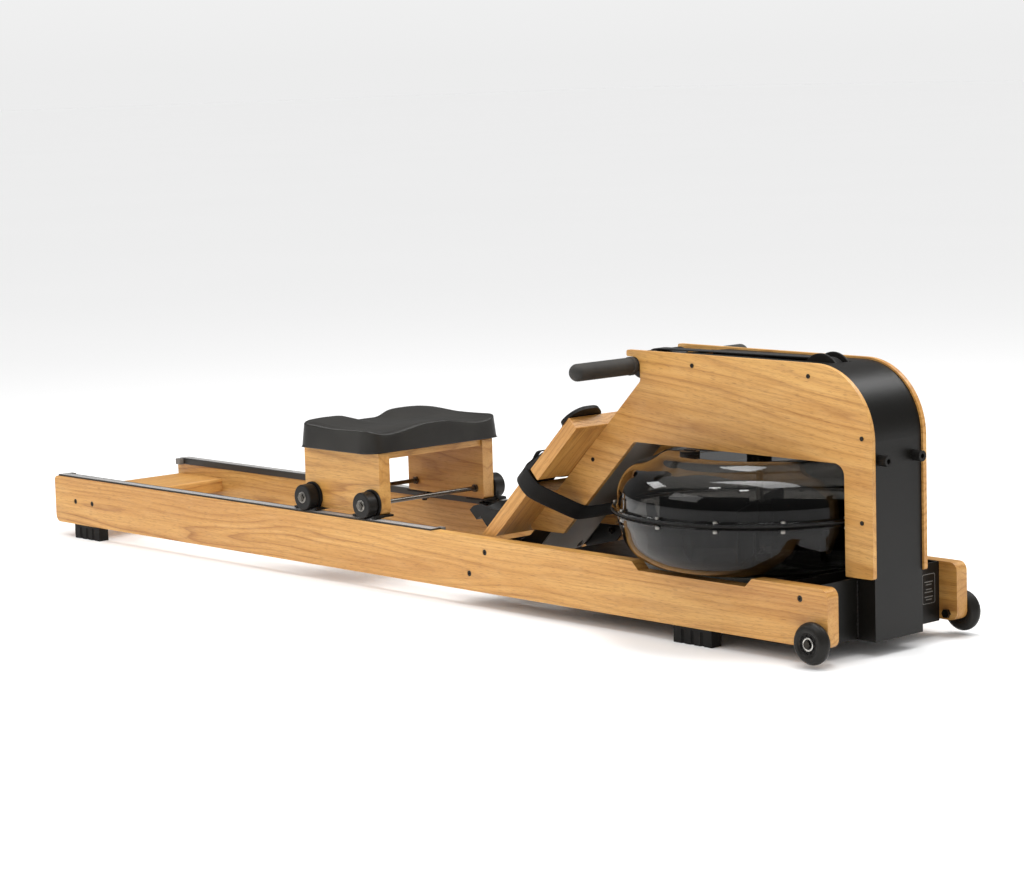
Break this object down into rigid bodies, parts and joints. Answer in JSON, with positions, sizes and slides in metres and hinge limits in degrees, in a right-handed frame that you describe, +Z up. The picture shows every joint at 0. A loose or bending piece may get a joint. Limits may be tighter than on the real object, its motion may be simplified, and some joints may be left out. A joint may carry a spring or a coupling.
{
  "type": "rowing_machine",
  "caption": "Water-resistance rowing machine with wooden rails and side panels, a round clear water tank, a sliding seat, a slanted footboard and a pull handle",
  "frame": {"origin": "on the floor plane under the middle of the machine's length and width", "axes": "+X along the rails towards the water tank and transport wheels, +Y towards the far rail, +Z up"},
  "size_m": [2.0972, 0.483, 0.461],
  "materials": {
    "rail_wood": "oiled",
    "panel_wood": "oiled",
    "board_wood": "oiled",
    "black_steel": "satin",
    "track_top": "satin",
    "black_rubber": "matte",
    "black_bolt": "satin",
    "bright_steel": "brushed",
    "tank_clear": "smoky clear",
    "black_plastic": "satin",
    "grey_plastic": "satin",
    "paddle_plastic": "gloss",
    "grip_foam": "matte",
    "webbing": "woven",
    "seat_skin": "satin",
    "wheel_tyre": "satin"
  },
  "bodies": {
    "frame": {"near_rail": "rail_wood", "far_rail": "rail_wood", "near_track": "track_top", "far_track": "track_top", "track_stops": "grey_plastic", "rear_cross_member": "board_wood", "rubber_feet": "black_rubber", "frame_bolts": "black_bolt", "near_side_panel": "panel_wood", "far_side_panel": "panel_wood", "outer_cover": "black_steel", "inner_frame": "black_steel", "leg_gussets": "black_steel", "foot_cross_member": "black_steel", "front_cross_box": "black_steel", "front_pegs": "black_plastic", "deck_board": "black_plastic", "tank_base": "bright_steel", "tank_bowl": "tank_clear", "tank_dome": "tank_clear", "tank_seal": "black_rubber", "tank_screws": "bright_steel", "filler_plug": "black_plastic", "tank_bearings": "black_plastic", "housing_axles": "bright_steel", "drive_strap": "webbing", "recoil_cord": "webbing", "footboard_lower": "board_wood", "footboard_upper": "board_wood", "foot_strap": "webbing", "wheel_axles": "black_bolt"},
    "seat": {"near_seat_plate": "board_wood", "far_seat_plate": "board_wood", "seat_base": "board_wood", "seat_pad": "seat_skin", "seat_axles": "bright_steel", "axle_nuts": "bright_steel", "roller_guards": "black_steel"},
    "near_rear_wheel": {"near_rear_roller": "black_plastic"},
    "near_rear_guide": {"near_rear_guide_roller": "black_plastic"},
    "near_front_wheel": {"near_front_roller": "black_plastic"},
    "near_front_guide": {"near_front_guide_roller": "black_plastic"},
    "far_rear_wheel": {"far_rear_roller": "black_plastic"},
    "far_rear_guide": {"far_rear_guide_roller": "black_plastic"},
    "far_front_wheel": {"far_front_roller": "black_plastic"},
    "far_front_guide": {"far_front_guide_roller": "black_plastic"},
    "handle": {"handle_bar": "bright_steel", "near_grip": "grip_foam", "far_grip": "grip_foam", "pull_strap": "webbing"},
    "pulley": {"belt_pulley": "black_plastic"},
    "drum": {"strap_drum": "black_plastic"},
    "impeller": {"impeller_shaft": "bright_steel", "impeller_paddle": "paddle_plastic"},
    "near_transport_wheel": {"near_wheel_tyre": "wheel_tyre", "near_wheel_hub": "grey_plastic"},
    "near_foot": {"near_foot_plate": "black_plastic"},
    "far_transport_wheel": {"far_wheel_tyre": "wheel_tyre", "far_wheel_hub": "grey_plastic"},
    "far_foot": {"far_foot_plate": "black_plastic"}
  },
  "joints": [
    {"name": "seat_slide", "type": "slide", "parent": "frame", "child": "seat", "axis": [1, 0, 0], "range_m": [-0.765, 0.145]},
    {"name": "near_rear_roll", "type": "hinge", "parent": "seat", "child": "near_rear_wheel", "pos_m": [-0.24455, -0.1535, 0.1481], "axis": [0, 1, 0], "continuous": true},
    {"name": "near_rear_guide_roll", "type": "hinge", "parent": "seat", "child": "near_rear_guide", "pos_m": [-0.24455, -0.1296, 0.1154], "axis": [0, 0, 1], "continuous": true},
    {"name": "near_front_roll", "type": "hinge", "parent": "seat", "child": "near_front_wheel", "pos_m": [-0.07655, -0.1535, 0.1481], "axis": [0, 1, 0], "continuous": true},
    {"name": "near_front_guide_roll", "type": "hinge", "parent": "seat", "child": "near_front_guide", "pos_m": [-0.07655, -0.1296, 0.1154], "axis": [0, 0, 1], "continuous": true},
    {"name": "far_rear_roll", "type": "hinge", "parent": "seat", "child": "far_rear_wheel", "pos_m": [-0.24455, 0.1535, 0.1481], "axis": [0, 1, 0], "continuous": true},
    {"name": "far_rear_guide_roll", "type": "hinge", "parent": "seat", "child": "far_rear_guide", "pos_m": [-0.24455, 0.1296, 0.1154], "axis": [0, 0, 1], "continuous": true},
    {"name": "far_front_roll", "type": "hinge", "parent": "seat", "child": "far_front_wheel", "pos_m": [-0.07655, 0.1535, 0.1481], "axis": [0, 1, 0], "continuous": true},
    {"name": "far_front_guide_roll", "type": "hinge", "parent": "seat", "child": "far_front_guide", "pos_m": [-0.07655, 0.1296, 0.1154], "axis": [0, 0, 1], "continuous": true},
    {"name": "handle_pull", "type": "slide", "parent": "frame", "child": "handle", "axis": [-1, 0, 0], "range_m": [0, 1.1], "stiffness_N_per_m": 15, "springref_m": -0.3},
    {"name": "pulley_spin", "type": "hinge", "parent": "frame", "child": "pulley", "pos_m": [0.89145, 0, 0.42], "axis": [0, 1, 0], "continuous": true},
    {"name": "drum_spin", "type": "hinge", "parent": "frame", "child": "drum", "pos_m": [0.74145, 0, 0.341], "axis": [0, 0, 1], "continuous": true},
    {"name": "impeller_spin", "type": "hinge", "parent": "frame", "child": "impeller", "pos_m": [0.74145, 0, 0.17], "axis": [0, 0, 1], "continuous": true},
    {"name": "near_transport_spin", "type": "hinge", "parent": "frame", "child": "near_transport_wheel", "pos_m": [1.01145, -0.1795, 0.0385], "axis": [0, 1, 0], "continuous": true},
    {"name": "far_transport_spin", "type": "hinge", "parent": "frame", "child": "far_transport_wheel", "pos_m": [1.01145, 0.1795, 0.0385], "axis": [0, 1, 0], "continuous": true},
    {"name": "near_foot_adjust", "type": "slide", "parent": "frame", "child": "near_foot", "axis": [0.7181, 0, 0.6959], "range_m": [0, 0.04]},
    {"name": "far_foot_adjust", "type": "slide", "parent": "frame", "child": "far_foot", "axis": [0.7181, 0, 0.6959], "range_m": [0, 0.04]}
  ],
  "couplings": [
    {"joint": "near_rear_roll", "follows": "seat_slide", "rad_per_m": 42.735},
    {"joint": "near_rear_guide_roll", "follows": "seat_slide", "rad_per_m": -111.11},
    {"joint": "near_front_roll", "follows": "seat_slide", "rad_per_m": 42.735},
    {"joint": "near_front_guide_roll", "follows": "seat_slide", "rad_per_m": -111.11},
    {"joint": "far_rear_roll", "follows": "seat_slide", "rad_per_m": 42.735},
    {"joint": "far_rear_guide_roll", "follows": "seat_slide", "rad_per_m": 111.11},
    {"joint": "far_front_roll", "follows": "seat_slide", "rad_per_m": 42.735},
    {"joint": "far_front_guide_roll", "follows": "seat_slide", "rad_per_m": 111.11},
    {"joint": "pulley_spin", "follows": "handle_pull", "rad_per_m": -30.96},
    {"joint": "drum_spin", "follows": "handle_pull", "rad_per_m": -28.329}
  ]
}
